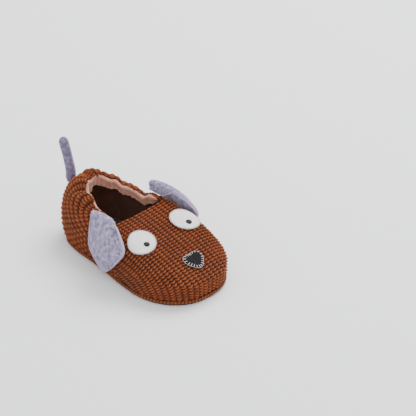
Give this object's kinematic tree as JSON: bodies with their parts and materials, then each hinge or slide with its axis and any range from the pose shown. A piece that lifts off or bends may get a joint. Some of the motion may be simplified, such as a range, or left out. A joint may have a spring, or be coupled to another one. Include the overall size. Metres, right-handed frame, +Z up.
{
  "type": "baby bootie",
  "caption": "Soft knitted baby bootie with a padded sole, gathered jersey rim, felt face, hanging padded ears and a stuffed tail.",
  "frame": {"origin": "middle of the sole's underside, on the ground", "axes": "+Y towards the heel, toe towards -Y, +X towards the wearer's left, +Z up"},
  "size_m": [0.0658, 0.1234, 0.0553],
  "materials": {
    "knit": "chunky rust-brown ribbed knit, matt",
    "lining": "pinkish-beige cotton jersey, gathered at the rim",
    "insole_fabric": "dark brown brushed fabric",
    "sole_suede": "dark brown suede-like sole",
    "foam": "soft open-cell foam, hidden",
    "elastic": "round woven elastic, hidden",
    "velour": "lilac-grey velour with a short pile",
    "filling": "white polyester fibre, hidden",
    "white_felt": "off-white felt",
    "black_felt": "near-black felt",
    "white_thread": "white embroidery thread",
    "black_thread": "black embroidery thread, slightly glossy"
  },
  "bodies": {
    "bootie": {"outsole": "sole_suede", "sole_rim": "knit", "sole_foam": "foam", "insole_cover": "insole_fabric", "vamp_knit": "knit", "heel_knit": "knit", "vamp_lining": "insole_fabric", "heel_lining": "insole_fabric", "topline_casing": "lining", "topline_elastic": "elastic", "left_eye": "white_felt", "left_eye_stitching": "white_thread", "left_pupil": "black_thread", "right_eye": "white_felt", "right_eye_stitching": "white_thread", "right_pupil": "black_thread", "nose": "black_felt", "nose_stitching": "white_thread"},
    "left_ear": {"left_ear_front": "velour", "left_ear_back": "velour", "left_ear_wadding": "filling"},
    "right_ear": {"right_ear_front": "velour", "right_ear_back": "velour", "right_ear_wadding": "filling"},
    "tail": {"tail_cover": "velour", "tail_stuffing": "filling"}
  },
  "joints": [
    {"name": "left_ear_lift", "type": "hinge", "parent": "bootie", "child": "left_ear", "pos_m": [0.0213, 0.0097, 0.0343], "axis": [0, -1, 0], "range_deg": [0, 100]},
    {"name": "right_ear_lift", "type": "hinge", "parent": "bootie", "child": "right_ear", "pos_m": [-0.0213, 0.0097, 0.0343], "axis": [0, 1, 0], "range_deg": [0, 100]},
    {"name": "tail_bend", "type": "hinge", "parent": "bootie", "child": "tail", "pos_m": [0, 0.06, 0.0284], "axis": [1, 0, 0], "range_deg": [-55, 18], "stiffness_Nm_per_rad": 0.004}
  ]
}
